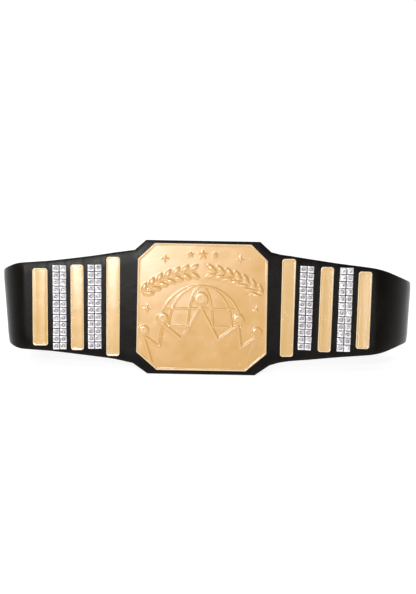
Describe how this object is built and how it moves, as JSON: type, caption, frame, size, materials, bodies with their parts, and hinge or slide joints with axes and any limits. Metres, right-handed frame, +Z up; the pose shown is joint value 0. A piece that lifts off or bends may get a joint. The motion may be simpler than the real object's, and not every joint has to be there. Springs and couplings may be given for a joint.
{
  "type": "championship title belt",
  "caption": "Costume championship title belt: black padded strap with eight-sided panel, embossed gold plate, gold bars and strips of square clear stones, fastened into a loop.",
  "frame": {"origin": "on the surface that the belt rests on, under the middle of its box", "axes": "+Z up, +X to the right of someone who looks at the gold plate, -Y out of the plate, which leans back by about 13 degrees"},
  "size_m": [0.4742, 0.221, 0.1483],
  "materials": {
    "strap_vinyl": "smooth black faux leather with a soft gloss",
    "gold_foil": "pale gold satin foil, embossed",
    "clear_stone": "clear cut stones with a silvered back",
    "hook_and_loop": "black napped hook-and-loop tape"
  },
  "bodies": {
    "root": {"strap": "strap_vinyl", "centre_plate": "gold_foil", "bar_left_inner": "gold_foil", "bar_left_middle": "gold_foil", "bar_left_outer": "gold_foil", "bar_right_inner": "gold_foil", "bar_right_middle": "gold_foil", "bar_right_outer": "gold_foil", "stones_left_inner": "clear_stone", "stones_left_outer": "clear_stone", "stones_right_inner": "clear_stone", "stones_right_outer": "clear_stone", "fastener_patch": "hook_and_loop"}
  },
  "joints": []
}
